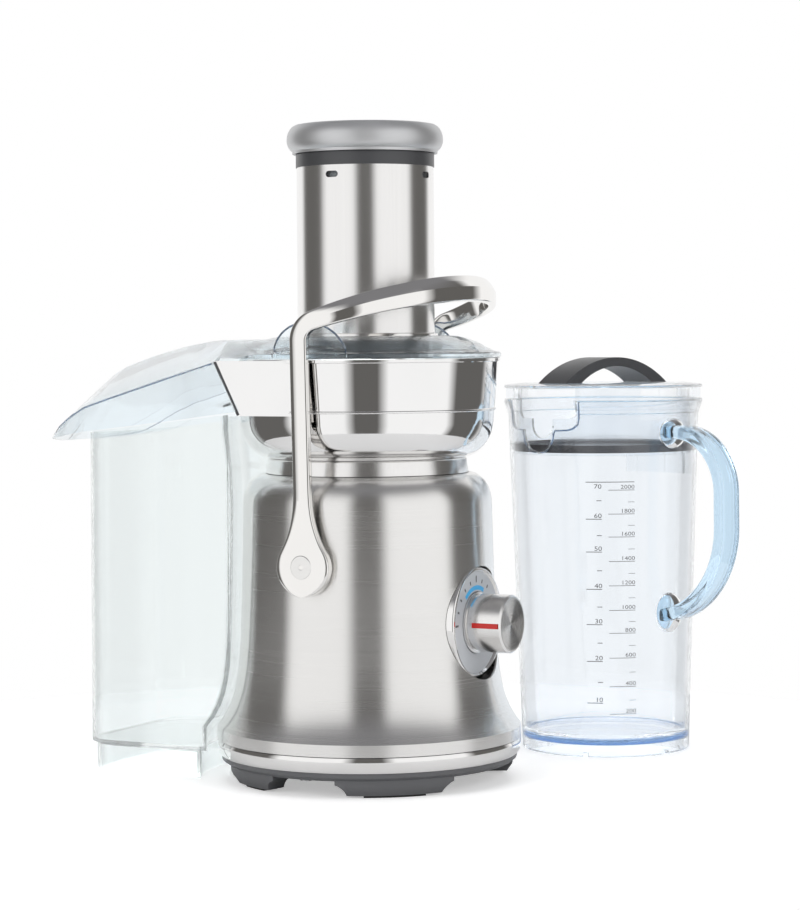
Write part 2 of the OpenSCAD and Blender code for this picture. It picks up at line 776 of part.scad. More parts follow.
module machine_space(gap) {
    // the space that the bin's hollow front leaves for the base
    rotate_extrude() polygon(concat([[0, -1], [foot_r + gap, -1]],
        [for (z = [shell_z:8:shoulder_z]) [shell_r(z) + gap, z]],
        [[shell_r(shoulder_z) + gap + 1, 212], [97.5 + gap - bin_gap, 240],
        [97.5 + gap - bin_gap, 300], [0, 300]]));
}

module bin_block(t, z0, z1) {
    difference() {
        translate([0, 0, z0]) linear_extrude(z1 - z0) bin_plan(t);
        machine_space(bin_gap + t);
        translate([-100, -100, -1]) cube([200, 100 + bin_front + t, 400]);
    }
}

module pulp_bin() {
    slope = atan((bin_rim[0] - bin_rim[1]) / (bin_back - bin_front));
    color("lightcyan", 0.5) difference() {
        union() {
            bin_block(0, bin_floor, 260);
            bin_block(3.5, 0, bin_floor + 1);
        }
        bin_block(bin_t, bin_floor + bin_t, 270);
        bin_block(3.5 + bin_t, -1, bin_floor - 2);
        translate([0, bin_front, bin_rim[0]]) rotate([-slope, 0, 0]) translate([-100, -60, 0])
            cube([200, 260, 60]);
    }
}

// ---- jug ----

function jug_r(z) = jug_foot_r + (jug_neck_r - jug_foot_r) * z / 245;

module at_jug() {
    translate([jug_x, -jug_y, 0]) rotate([0, 0, jug_turn]) children();
}

// A stepped U, drawn sideways and up: a wide part over a narrow round-bottomed one
module stepped_notch(wide, shelf, narrow, low, top) {
    r = 8;
    translate([-wide + r, shelf]) square([2 * (wide - r), top - shelf]);
    translate([-wide, shelf + r]) square([2 * wide, top - shelf - r]);
    for (s = [-1, 1]) translate([s * (wide - r), shelf + r]) circle(r = r);
    translate([-narrow, low + narrow]) square([2 * narrow, top - low - narrow]);
    translate([0, low + narrow]) circle(r = narrow);
}

module notch_cut(wide, shelf, narrow, low, top, r0, r1) {
    translate([r0, 0, 0]) rotate([90, 0, 90]) linear_extrude(r1 - r0)
        stepped_notch(wide, shelf, narrow, low, top);
}

module jug_body() {
    color("lightcyan", 0.5) at_jug() difference() {
        rotate_extrude() polygon([[0, jug_floor[0]], [55, jug_floor[0]], [57, 0.8], [58, 0],
            [jug_r(0) - 0.6, 0], [jug_r(0), 0.8], [jug_r(245), 245], [jug_rim_r, jug_h - 2],
            [jug_rim_r - 0.4, jug_h], [jug_rim_r - 2.4, jug_h], [jug_r(245) - jug_t, 244],
            [jug_r(jug_floor[1]) - jug_t, jug_floor[1] + 3],
            [jug_r(jug_floor[1]) - jug_t - 3, jug_floor[1]], [0, jug_floor[1]]]);
        notch_cut(33.4, 234.7, 15, 218.6, 270, 40, 90);
        for (a = [30:60:330]) rotate([0, 0, a]) translate([50, -2, -1]) cube([20, 4, 4]);
    }
}

handle_top_z = 232.5;
handle_bend = 42;
handle_low_z = 166;
handle_arc = 66;
handle_sweep = 82;
handle_in = 78;

module handle_section(r) {
    translate([r - handle_t / 2 + 3, -handle_w / 2]) square([handle_t - 6, handle_w]);
    translate([r - handle_t / 2, -handle_w / 2 + 3]) square([handle_t, handle_w - 6]);
    for (i = [-1, 1]) for (j = [-1, 1])
        translate([r + i * (handle_t / 2 - 3), j * (handle_w / 2 - 3)]) circle(r = 3);
}

module jug_handle() {
    reach = handle_in + handle_bend;
    color("lightblue", 0.6) at_jug() rotate([0, 0, handle_turn]) difference() {
        rotate([90, 0, 0]) {
            translate([handle_in, handle_top_z - handle_bend, 0]) rotate_extrude(angle = 90)
                handle_section(handle_bend);
            translate([reach - handle_arc, handle_low_z, 0]) mirror([0, 1, 0])
                rotate_extrude(angle = handle_sweep) handle_section(handle_arc);
            translate([0, handle_low_z, 0]) rotate([-90, 0, 0])
                linear_extrude(handle_top_z - handle_bend - handle_low_z) handle_section(reach);
            translate([60, handle_top_z, 0]) rotate([0, 90, 0]) rotate([0, 0, 90])
                linear_extrude(handle_in - 60) handle_section(0);
        }
        rotate_extrude() polygon([[0, 0], [jug_r(0), 0], [jug_r(245), 245], [jug_rim_r, jug_h],
            [0, jug_h]]);
    }
}

module jug_lid() {
    color("lightcyan", 0.5) at_jug() difference() {
        union() {
            rotate_extrude() polygon([[0, lid_z], [lid_skirt_r - 2, lid_z],
                [lid_skirt_r - 2, lid_skirt_z], [lid_skirt_r, lid_skirt_z], [lid_skirt_r, 256.4],
                [66.5, 256.4], [66.5, lid_z], [jug_rim_r - 0.6, lid_z], [jug_rim_r, lid_z + 0.8],
                [jug_rim_r - 0.6, lid_z + 2.2], [60, lid_top], [0, lid_top]]);
            for (a = [45:90:315]) rotate([0, 0, a]) translate([66, -3, 256.3])
                cube([5.4, 6, lid_z - 256.1]);
        }
        notch_cut(30, 242.3, 10.5, 228.3, lid_z, 40, 70);
        translate([-90, -21, 238]) cube([50, 42, lid_z - 238]);
    }
}

module lid_seal() {
    color("dimgray") at_jug() ring(lid_skirt_r, 65.8, 218, 223.5);
}

module lid_handle() {
    color("dimgray") at_jug() difference() {
        translate([0, grip_w / 2, grip_top - grip_out_r]) rotate([90, 0, 0])
            cylinder(r = grip_out_r, h = grip_w);
        translate([0, grip_w / 2 + 1, grip_top - grip_t - grip_in_r]) rotate([90, 0, 0])
            cylinder(r = grip_in_r, h = grip_w + 2);
        translate([-100, -50, 100]) cube([200, 100, lid_top - 100]);
    }
}

module froth_separator() {
    color("lightcyan", 0.5) at_jug() rotate([0, 0, 152]) rotate_extrude(angle = 56)
        translate([lid_skirt_r - 2, 199]) square([2, lid_skirt_z - 199]);
}

base_tray();
foot_pads();
base_screws();
trim_ring();
body_shell();
neck_collar();
cord_gland();
motor_frame();
motor_dampers();
stator();
stator_windings();
brush_holders();
bearing_lower();
bearing_upper();
seal_plate();
shaft_seal();
control_board();
rotary_switch();
dial_bezel();
dial_plate();
pivot_pins();
bowl_gasket();
filter_bowl();
juice_spout();
juicer_cover();
feed_tube();
chute_sleeve();
chute_ring();
chute_foot_ring();
knob_spindle();
speed_knob();
knob_marker();
locking_arm();
pivot_bushes();
pivot_caps();
motor_shaft();
rotor_core();
commutator();
cooling_fan();
drive_coupling();
basket_hub();
filter_basket();
basket_rim();
grater_disc();
pusher_body();
pusher_cap();
pulp_bin();
jug_body();
jug_handle();
jug_lid();
lid_seal();
lid_handle();
froth_separator();
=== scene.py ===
# %% [markdown]
# # A centrifugal juicer, dressed for a studio portrait
# The solid parts of this machine come from its own CAD model, already in place and in metres.
# This lesson gives each part its finish, makes a finer skin for the polished arm, adds small pieces
#  to the clear ones, and sets up the camera and the light. The dial faces -Y, the pulp bin stands at
#  +Y and the juice nozzle points along +X.

# %% Load the machine
import json
import math

import bpy
import numpy as np
from mathutils import Matrix


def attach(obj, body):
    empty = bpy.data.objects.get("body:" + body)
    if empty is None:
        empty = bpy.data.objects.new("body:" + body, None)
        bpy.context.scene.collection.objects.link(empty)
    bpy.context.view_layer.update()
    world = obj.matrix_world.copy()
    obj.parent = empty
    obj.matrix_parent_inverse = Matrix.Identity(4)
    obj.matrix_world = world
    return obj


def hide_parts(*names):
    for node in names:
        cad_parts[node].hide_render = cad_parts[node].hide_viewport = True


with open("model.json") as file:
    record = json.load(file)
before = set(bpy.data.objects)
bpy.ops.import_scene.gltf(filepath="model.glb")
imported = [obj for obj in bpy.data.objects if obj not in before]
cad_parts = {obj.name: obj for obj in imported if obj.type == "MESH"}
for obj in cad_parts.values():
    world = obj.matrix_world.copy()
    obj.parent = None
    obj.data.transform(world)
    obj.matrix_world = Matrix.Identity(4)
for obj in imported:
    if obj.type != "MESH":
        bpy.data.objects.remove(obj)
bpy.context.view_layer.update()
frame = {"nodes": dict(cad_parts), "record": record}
nodes = frame["nodes"]
print(len(nodes), "CAD nodes loaded")

# %% [markdown]
# ## The camera
# A product portrait is taken from far away with a long lens, so that upright lines stay upright.
# The camera stands at the height of the cover, looks level, and its view is shifted down. It sees
# the machine from its front left corner.

# %% Camera
LOOK = np.array([0.883, 0.469, 0.0])
RIGHT = np.array([0.469, -0.883, 0.0])


def make_camera(place, roll_degrees):
    """A level camera: its axes are RIGHT, up and the reverse of LOOK, turned a little about LOOK."""
    data = bpy.data.cameras.new("portrait_camera")
    data.lens = 107.6
    data.sensor_width = 36.0
    data.shift_x = 0.004
    data.shift_y = -0.131
    data.clip_end = 50.0
    camera = bpy.data.objects.new("portrait_camera", data)
    bpy.context.scene.collection.objects.link(camera)
    turn = math.radians(roll_degrees)
    up = np.array([0.0, 0.0, 1.0])
    side = math.cos(turn) * RIGHT + math.sin(turn) * up
    top = math.cos(turn) * up - math.sin(turn) * RIGHT
    matrix = np.eye(4)
    matrix[:3, 0], matrix[:3, 1], matrix[:3, 2], matrix[:3, 3] = side, top, -LOOK, place
    camera.matrix_world = Matrix(matrix.tolist())
    bpy.context.scene.camera = camera
    return camera


camera = make_camera((-1.6475, -0.8985, 0.303), -0.45)
print("camera at", tuple(round(v, 3) for v in camera.location))

# %% [markdown]
# ## The studio
# Polished steel shows only what stands round it. A studio surrounds it with tall white panels and
# leaves dark gaps between them, which become the dark upright bands on the steel. The world is
# such a room: its brightness depends on the compass direction, softened at the edges, and fades to
# a grey ceiling overhead.

# %% World
DARK_GAPS = [(-126, -76), (-15, 15), (82, 128)]  # degrees, from the camera towards its right
GAP_GREY, GAP_EDGE = 0.13, 5
CEILING_FROM, CEILING_FULL = 0.45, 0.75


def make_world():
    world = bpy.data.worlds.new("studio_room")
    bpy.context.scene.world = world
    world.use_nodes = True
    tree = world.node_tree
    tree.nodes.clear()
    add = tree.nodes.new
    link = tree.links.new
    where = add("ShaderNodeTexCoord")

    def along(vector):
        dot = add("ShaderNodeVectorMath")
        dot.operation = "DOT_PRODUCT"
        link(where.outputs["Generated"], dot.inputs[0])
        dot.inputs[1].default_value = vector
        return dot.outputs["Value"]

    compass = add("ShaderNodeMath")
    compass.operation = "ARCTAN2"
    link(along(tuple(RIGHT)), compass.inputs[0])
    link(along(tuple(-LOOK)), compass.inputs[1])
    spread = add("ShaderNodeMapRange")
    spread.inputs["From Min"].default_value = -math.pi
    spread.inputs["From Max"].default_value = math.pi
    link(compass.outputs[0], spread.inputs["Value"])
    ramp = add("ShaderNodeValToRGB")
    stops = [(-180, 0.95)]
    for low, high in DARK_GAPS:
        stops += [(low - GAP_EDGE, 1.0), (low + GAP_EDGE, GAP_GREY),
                  (high - GAP_EDGE, GAP_GREY), (high + GAP_EDGE, 1.0)]
    stops.append((180, 0.95))
    bar = ramp.color_ramp
    bar.elements.remove(bar.elements[1])
    for i, (angle, grey) in enumerate(stops):
        place = (angle + 180) / 360
        stop = bar.elements[0] if i == 0 else bar.elements.new(place)
        stop.position = place
        warm = (1, 0.97, 0.93) if grey == GAP_GREY else (1, 1, 1)
        stop.color = tuple(grey * w for w in warm) + (1,)
    link(spread.outputs[0], ramp.inputs[0])
    # overhead the room closes with a dark ceiling
    lift = add("ShaderNodeMapRange")
    lift.interpolation_type = "SMOOTHSTEP"
    lift.inputs["From Min"].default_value = CEILING_FROM
    lift.inputs["From Max"].default_value = CEILING_FULL
    link(along((0, 0, 1)), lift.inputs["Value"])
    ceiling = add("ShaderNodeMix")
    ceiling.data_type = "RGBA"
    link(lift.outputs[0], ceiling.inputs["Factor"])
    link(ramp.outputs[0], ceiling.inputs["A"])
    ceiling.inputs["B"].default_value = (0.22, 0.22, 0.23, 1)
    room = add("ShaderNodeBackground")
    link(ceiling.outputs["Result"], room.inputs["Color"])
    room.inputs["Strength"].default_value = 1.0
    paper = add("ShaderNodeBackground")
    paper.inputs["Color"].default_value = (1, 1, 1, 1)
    paper.inputs["Strength"].default_value = 1.0
    sight = add("ShaderNodeLightPath")
    choose = add("ShaderNodeMixShader")
    # straight on, or through clear plastic, the paper is seen; only reflections show the room
    straight = add("ShaderNodeMath")
    straight.operation = "MAXIMUM"
    link(sight.outputs["Is Camera Ray"], straight.inputs[0])
    link(sight.outputs["Is Transmission Ray"], straight.inputs[1])
    link(straight.outputs[0], choose.inputs[0])
    link(room.outputs[0], choose.inputs[1])
    link(paper.outputs[0], choose.inputs[2])
    out = add("ShaderNodeOutputWorld")
    link(choose.outputs[0], out.inputs[0])
    print("studio room with", len(DARK_GAPS), "dark gaps")


make_world()
bpy.context.scene.view_settings.view_transform = "Standard"

# %% [markdown]
# ## Lights and floor
# Two large soft panels in front, to the left and right of the camera, model the round shapes. The
# floor is a small round sheet of pale paper, so that polished sides see its edge and the dark
# gaps of the room below it.

# %% Lights and floor
MIDDLE = np.array([0.05, 0.0, 0.2])
FLOOR_GLOW = 0.42


def soft_panel(name, compass_degrees, distance, height, size, power):
    """A square area light on a circle round the machine, aimed at its middle."""
    a = math.radians(compass_degrees)
    place = (-LOOK * math.cos(a) + RIGHT * math.sin(a)) * distance + np.array([0, 0, height])
    data = bpy.data.lights.new(name, "AREA")
    data.size = size
    data.energy = power
    light = bpy.data.objects.new(name, data)
    bpy.context.scene.collection.objects.link(light)
    aim = MIDDLE - place
    flat = math.hypot(aim[0], aim[1])
    light.visible_glossy = False
    light.location = place
    light.rotation_euler = (math.atan2(flat, -aim[2]), 0, math.atan2(aim[1], aim[0]) - math.pi / 2)


soft_panel("left_panel", -46, 1.6, 1.0, 0.9, 9)
soft_panel("right_panel", 50, 1.6, 1.0, 0.9, 8)
soft_panel("top_panel", 0, 0.2, 1.9, 1.2, 9)


def make_floor():
    """A round sheet of paper under the machine, computed as rings of points. It glows a little when
    it is seen straight on or through clear plastic, so that it joins the white room."""
    rings = np.array([0.0, 0.1, 0.2, 0.3, 0.4, 0.5])
    turns = np.linspace(0, 2 * np.pi, 65)[:-1]
    r, a = np.meshgrid(rings, turns, indexing="ij")
    points = np.stack([r * np.cos(a), r * np.sin(a), 0 * r], -1).reshape(-1, 3)
    mesh = bpy.data.meshes.new("studio_floor")
    faces = grid_faces(len(rings), len(turns), True)
    mesh.from_pydata(points.tolist(), [], faces.tolist())
    floor = bpy.data.objects.new("studio_floor", mesh)
    paper = bpy.data.materials.new("studio_paper")
    paper.use_nodes = True
    shader = paper.node_tree.nodes["Principled BSDF"]
    shader.inputs["Base Color"].default_value = (0.9, 0.9, 0.9, 1)
    shader.inputs["Roughness"].default_value = 0.5
    shader.inputs["Emission Color"].default_value = (1, 1, 1, 1)
    add, link = paper.node_tree.nodes.new, paper.node_tree.links.new
    sight = add("ShaderNodeLightPath")
    straight = add("ShaderNodeMath")
    straight.operation = "MAXIMUM"
    link(sight.outputs["Is Camera Ray"], straight.inputs[0])
    link(sight.outputs["Is Transmission Ray"], straight.inputs[1])
    glow = add("ShaderNodeMath")
    glow.operation = "MULTIPLY"
    glow.inputs[1].default_value = FLOOR_GLOW
    link(straight.outputs[0], glow.inputs[0])
    link(glow.outputs[0], shader.inputs["Emission Strength"])
    mesh.materials.append(paper)
    bpy.context.scene.collection.objects.link(floor)


def grid_faces(rows, columns, closed):
    """Quads of a grid of points, four numbers each; closed joins the last column to the first."""
    i = np.arange(rows - 1)[:, None]
    j = np.arange(columns if closed else columns - 1)[None, :]
    k = (j + 1) % columns
    return np.stack([i * columns + j, (i + 1) * columns + j, (i + 1) * columns + k,
                     i * columns + k], -1).reshape(-1, 4)


make_floor()
print("floor laid")

# %% [markdown]
# ## Ways of making a surface
# Every skin here starts as a grid of points computed whole. One helper joins a grid into a mesh,
# one makes the grid of a turned surface, whose profile goes round an axis, and one decides which
# edges stay sharp.

# %% Mesh helpers


def piece_from_grid(name, grid, closed=True, caps=False, flip=False, body="base"):
    """Puts a rows x columns x 3 array of points into a mesh, joined in quads, shaded smooth."""
    rows, columns = grid.shape[:2]
    faces = grid_faces(rows, columns, closed)
    if flip:
        faces = faces[:, ::-1]
    faces = faces.tolist()
    if caps:
        first, last = list(range(columns)), list(range((rows - 1) * columns, rows * columns))
        faces += [first if not flip else first[::-1], last[::-1] if not flip else last]
    mesh = bpy.data.meshes.new(name)
    mesh.from_pydata(grid.reshape(-1, 3).tolist(), [], faces)
    mesh.polygons.foreach_set("use_smooth", np.ones(len(faces), bool))
    mesh.update()
    piece = bpy.data.objects.new(name, mesh)
    bpy.context.scene.collection.objects.link(piece)
    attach(piece, body)
    return piece


def turned(name, profile, sides=128, centre=(0, 0), body="base", flip=False):
    """A profile of (radius, height) in millimetres goes round a vertical axis at centre."""
    p = np.asarray(profile, float) / 1000
    a = np.linspace(0, 2 * np.pi, sides + 1)[:-1]
    grid = np.stack([centre[0] + p[:, :1] * np.cos(a), centre[1] + p[:, :1] * np.sin(a),
                     np.repeat(p[:, 1:], sides, 1)], -1)
    return piece_from_grid(name, grid, body=body, flip=flip)


def crisp(piece, degrees=32):
    """Edges sharper than the angle stay sharp; the rest shade smooth."""
    merge = piece.modifiers.new("merge", "WELD")
    merge.merge_threshold = 0.00002
    split = piece.modifiers.new("crisp", "EDGE_SPLIT")
    split.split_angle = math.radians(degrees)
    piece.data.polygons.foreach_set("use_smooth", np.ones(len(piece.data.polygons), bool))


for node in nodes.values():
    crisp(node)
print("smooth shading on", len(nodes), "nodes")

# %% [markdown]
# ## Finishes
# Every finish starts from one Principled shader. Its colour, roughness and tiny relief vary with
# the place on the piece, because no real surface is perfectly even.

# %% Material helpers


class Finish:
    """A material being made: its tree, its Principled shader and short ways to add nodes."""

    def __init__(self, name, colour, metal=0.0, rough=0.4, **sockets):
        self.material = bpy.data.materials.new(name)
        self.material.use_nodes = True
        self.tree = self.material.node_tree
        self.shader = self.tree.nodes["Principled BSDF"]
        self.shader.inputs["Base Color"].default_value = (*colour, 1)
        self.shader.inputs["Metallic"].default_value = metal
        self.shader.inputs["Roughness"].default_value = rough
        for socket, value in sockets.items():
            self.shader.inputs[socket.replace("_", " ")].default_value = value
        self.where = self.add("ShaderNodeTexCoord").outputs["Object"]

    def add(self, kind):
        return self.tree.nodes.new(kind)

    def link(self, out, into):
        self.tree.links.new(out, into)

    def placed(self, move=(0, 0, 0), scale=(1, 1, 1)):
        """Object coordinates moved, then stretched, so that a pattern is centred on a piece."""
        node = self.add("ShaderNodeMapping")
        node.vector_type = "POINT"
        self.link(self.where, node.inputs["Vector"])
        node.inputs["Location"].default_value = tuple(m * s for m, s in zip(move, scale))
        node.inputs["Scale"].default_value = scale
        return node.outputs[0]

    def noise(self, vector, detail=2.0):
        node = self.add("ShaderNodeTexNoise")
        self.link(vector, node.inputs["Vector"])
        node.inputs["Scale"].default_value = 1.0
        node.inputs["Detail"].default_value = detail
        return node.outputs["Fac"]

    def spread(self, value, low, high, start=0.3, end=0.7):
        """Stretches a value that runs from start to end so that it runs from low to high."""
        node = self.add("ShaderNodeMapRange")
        self.link(value, node.inputs["Value"])
        node.inputs["From Min"].default_value = start
        node.inputs["From Max"].default_value = end
        node.inputs["To Min"].default_value = low
        node.inputs["To Max"].default_value = high
        return node.outputs[0]

    def sum(self, kind, a, b):
        """One step of arithmetic, named by kind, on two numbers or sockets."""
        node = self.add("ShaderNodeMath")
        node.operation = kind
        for i, v in enumerate((a, b)):
            if isinstance(v, (int, float)):
                node.inputs[i].default_value = v
            else:
                self.link(v, node.inputs[i])
        return node.outputs[0]

    def colour_from(self, value, low, high):
        """Mixes two colours by a value from 0 to 1 and sends the result to the base colour."""
        node = self.add("ShaderNodeMix")
        node.data_type = "RGBA"
        self.link(value, node.inputs["Factor"])
        node.inputs["A"].default_value = (*low, 1)
        node.inputs["B"].default_value = (*high, 1)
        self.link(node.outputs["Result"], self.shader.inputs["Base Color"])

    def rough_from(self, value):
        self.link(value, self.shader.inputs["Roughness"])

    def bump_from(self, value, strength, distance=0.0002):
        node = self.add("ShaderNodeBump")
        node.inputs["Strength"].default_value = strength
        node.inputs["Distance"].default_value = distance
        self.link(value, node.inputs["Height"])
        self.link(node.outputs[0], self.shader.inputs["Normal"])


def brushed(name, colour, rough, scale=(2, 2, 1700), bump=0.008, **sockets):
    """Steel rubbed in one direction: noise drawn out along the strokes varies tone and gloss."""
    f = Finish(name, colour, 1.0, rough, **sockets)
    strokes = f.noise(f.placed(scale=scale), detail=3)
    fine = f.noise(f.placed(scale=tuple(3 * s for s in scale)), detail=2)
    both = f.sum("ADD", f.sum("MULTIPLY", strokes, 0.6), f.sum("MULTIPLY", fine, 0.4))
    low = tuple(0.965 * c for c in colour)
    f.colour_from(f.spread(both, 0, 1), low, tuple(min(1, 1.015 * c) for c in colour))
    f.rough_from(f.spread(both, rough - 0.02, rough + 0.02))
    f.bump_from(both, bump)
    return f.material


def polished(name, colour, rough):
    """Mirror-bright metal: nothing but a faint cloud of wipe marks in its roughness."""
    f = Finish(name, colour, 1.0, rough)
    clouds = f.noise(f.placed(scale=(18, 18, 18)), detail=4)
    f.rough_from(f.spread(clouds, max(0.01, rough - 0.02), rough + 0.03))
    f.colour_from(f.spread(clouds, 0, 1), colour, tuple(0.97 * c for c in colour))
    return f.material


def moulded(name, colour, rough, grain=900, bump=0.1, **sockets):
    """Moulded plastic or rubber: a fine leathery grain, and slow changes of gloss."""
    f = Finish(name, colour, 0.0, rough, **sockets)
    slow = f.noise(f.placed(scale=(22, 22, 22)), detail=3)
    fine = f.noise(f.placed(scale=(grain, grain, grain)), detail=2)
    f.rough_from(f.spread(slow, rough - 0.05, rough + 0.07))
    f.colour_from(f.spread(slow, 0, 1), colour, tuple(1.12 * c for c in colour))
    f.bump_from(fine, bump, 0.00015)
    return f.material


def clear(name, colour, rough=0.02, shade=0.86, bend=1.2, thin=0.0):
    """Clear plastic. Light that only casts its shadow passes straight through, a little dimmed.
    thin is the share of all other light that passes a thin wall without being bent."""
    f = Finish(name, colour, 0.0, rough, Transmission_Weight=1.0, IOR=bend, Coat_Weight=0.7,
               Coat_Roughness=0.03)
    waves = f.noise(f.placed(scale=(9, 9, 9)), detail=2)
    f.bump_from(waves, 0.06, 0.002)
    pass_through = f.add("ShaderNodeBsdfTransparent")
    pass_through.inputs[0].default_value = tuple(shade * c for c in colour) + (1,)
    unbent = f.add("ShaderNodeBsdfTransparent")
    unbent.inputs[0].default_value = tuple(c ** 0.7 for c in colour) + (1,)
    wall = f.add("ShaderNodeMixShader")
    wall.inputs[0].default_value = thin
    f.link(f.shader.outputs[0], wall.inputs[1])
    f.link(unbent.outputs[0], wall.inputs[2])
    sight = f.add("ShaderNodeLightPath")
    mix = f.add("ShaderNodeMixShader")
    f.link(sight.outputs["Is Shadow Ray"], mix.inputs[0])
    f.link(wall.outputs[0], mix.inputs[1])
    f.link(pass_through.outputs[0], mix.inputs[2])
    f.link(mix.outputs[0], f.tree.nodes["Material Output"].inputs["Surface"])
    return f.material


def spun(name, colour, rough, centre, drop, painted_fan_depth):
    """Metal turned on a lathe: rings round centre, found as the distance from the axis; drop is the
    axis letter that the distance leaves out. The fans of light are painted highlight and shade: slow
    changes of tone by angle in the colour, and the last argument says how much darker they get."""
    f = Finish(name, colour, 1.0, rough, Anisotropic=0.5)
    keep = tuple(0.0 if letter == drop else 1.0 for letter in "xyz")
    flat = f.placed(move=tuple(-c for c in centre), scale=keep)
    length = f.add("ShaderNodeVectorMath")
    length.operation = "LENGTH"
    f.link(flat, length.inputs[0])
    joined = f.add("ShaderNodeCombineXYZ")
    f.link(f.sum("MULTIPLY", length.outputs["Value"], 2600), joined.inputs[0])
    rings = f.noise(joined.outputs[0], detail=2)
    parts = f.add("ShaderNodeSeparateXYZ")
    f.link(flat, parts.inputs[0])
    across, up = [parts.outputs[i] for i, letter in enumerate("XYZ") if letter.lower() != drop]
    # painted highlight and shade: the colour swings with the angle round the centre, in fans
    painted_fans = f.sum("COSINE", f.sum("ADD", f.sum("MULTIPLY", f.sum("ARCTAN2", up, across), 3), 0.9), 0)
    f.colour_from(f.spread(painted_fans, 0, 1, -0.6, 0.6), tuple((1 - painted_fan_depth) * c for c in colour), colour)
    f.rough_from(f.spread(rings, rough - 0.05, rough + 0.08))
    f.bump_from(rings, 0.5, 0.0001)
    return f.material


def pierced(name, colour, rough, spacing=0.0022):
    """Etched sheet full of small holes: round dots on a grid, each a sink in the surface, coloured
    near black as painted shade where the holes are.
    """
    f = Finish(name, colour, 1.0, rough)
    dots = f.add("ShaderNodeTexVoronoi")
    f.link(f.placed(), dots.inputs["Vector"])
    dots.inputs["Scale"].default_value = 1 / spacing
    dots.inputs["Randomness"].default_value = 0.15
    holes_with_painted_shade = f.spread(dots.outputs["Distance"], 0, 1, 0.28, 0.36)
    # painted shade: the holes are coloured near black instead of being cut through
    f.colour_from(holes_with_painted_shade, (0.03, 0.03, 0.03), colour)
    f.bump_from(holes_with_painted_shade, 0.4, 0.0002)
    return f.material


# %% [markdown]
# ## The finishes of this machine
# The base is brushed steel, the bowl and arm are polished, the foot and rings are dark grey
# plastic, and the cover, hood, bin and jug are clear plastic with a blue cast.

# %% Finishes
finishes = {
    "brushed_steel": brushed("brushed_steel", (0.86, 0.85, 0.835), 0.26,
                             Anisotropic=0.85, Anisotropic_Rotation=0.25),
    "plain_steel": brushed("plain_steel", (0.5, 0.5, 0.51), 0.35, scale=(300, 300, 30)),
    "lamination_steel": brushed("lamination_steel", (0.3, 0.3, 0.32), 0.4,
                                scale=(5, 5, 2000), bump=0.4),
    "cast_alloy": moulded("cast_alloy", (0.45, 0.45, 0.46), 0.5, grain=500, bump=0.35,
                          Metallic=1.0),
    "drawn_steel": brushed("drawn_steel", (0.88, 0.87, 0.86), 0.23, scale=(900, 900, 3),
                           Anisotropic=0.6, Anisotropic_Rotation=0.25),
    "chrome": polished("chrome", (0.9, 0.89, 0.88), 0.05),
    "polished_steel": polished("polished_steel", (0.9, 0.895, 0.89), 0.05),
    "polished_alloy": polished("polished_alloy", (0.9, 0.885, 0.865), 0.05),
    "mesh_steel": pierced("mesh_steel", (0.6, 0.6, 0.61), 0.25),
    "grey_plastic": moulded("grey_plastic", (0.055, 0.056, 0.06), 0.36),
    "tray_grey": moulded("tray_grey", (0.11, 0.112, 0.118), 0.4),
    "black_plastic": moulded("black_plastic", (0.018, 0.018, 0.02), 0.42),
    "rubber": moulded("rubber", (0.014, 0.014, 0.014), 0.6, bump=0.2),
    "seal_grey": moulded("seal_grey", (0.05, 0.05, 0.055), 0.45),
    "copper": brushed("copper", (0.72, 0.32, 0.17), 0.3, scale=(1500, 1500, 1500), bump=0.5),
    "brass": brushed("brass", (0.75, 0.56, 0.27), 0.3, scale=(40, 40, 400)),
    "board_green": moulded("board_green", (0.02, 0.16, 0.06), 0.3, grain=300),
    "dial_grey": moulded("dial_grey", (0.6, 0.62, 0.65), 0.4, bump=0.03, Metallic=0.3),
    "silver_plastic": moulded("silver_plastic", (0.62, 0.625, 0.635), 0.42, bump=0.03,
                              Metallic=0.85),
    "marker_red": moulded("marker_red", (0.55, 0.02, 0.015), 0.25),
    "clear_blue": clear("clear_blue", (0.915, 0.955, 0.975), thin=0.2),
    "clear_plastic": clear("clear_plastic", (0.94, 0.96, 0.98), thin=0.18),
    "bin_clear": clear("bin_clear", (0.93, 0.955, 0.955), thin=0.15),
    "handle_blue": clear("handle_blue", (0.6, 0.78, 0.93), bend=1.4),
    "floor_blue": clear("floor_blue", (0.3, 0.48, 0.78)),
    "edge_blue": clear("edge_blue", (0.16, 0.26, 0.42), 0.1),
}
for entry in frame["record"]["subparts"]:
    piece = nodes[entry["node"]]
    piece.data.materials.clear()
    piece.data.materials.append(finishes[entry["material_slot"]])
KNOB_Z = 109.0
# the knob's end: lathe rings, with painted highlight and shade in fans round its centre
knob_face = spun("knob_face", (0.8, 0.79, 0.78), 0.25, (0, 0, KNOB_Z / 1000), "y", 0.55)
nodes["speed_knob"].data.materials[0] = finishes["drawn_steel"]
nodes["jug_handle"].data.materials[0] = finishes["handle_blue"]
nodes["base_tray"].data.materials[0] = finishes["tray_grey"]
nodes["pulp_bin"].data.materials[0] = finishes["bin_clear"]
for name in ("chute_sleeve", "neck_collar"):
    nodes[name].data.materials[0] = finishes["drawn_steel"]
print(len(finishes) + 1, "finishes assigned")

# %% [markdown]
# ## The locking arm
# The arm is one polished casting: a round boss at each pivot drawn out into an upright, a bend,
# and a loop round the front of the chute. Its outer face is two long facets that meet in a ridge.
# A section carried along the arm's own path gives all of this in one surface: only the section's
# width, thickness and ridge change on the way.

# %% The arm's path
PIVOT = np.array([0.0, -3.0, 151.0])
BOSS_R, BOSS_X = 19.7, 93.5
BEND_R, BEND_Z, ARM_X = 14.0, 300.0, 98.5
TILT = math.radians(17.7)
LOOP_REACH = 70.7
HALF_WIDE, HALF_THICK = 6.25, 3.5
RIDGE = 0.3
BEND_ROWS, LOOP_ROWS = 15, 39


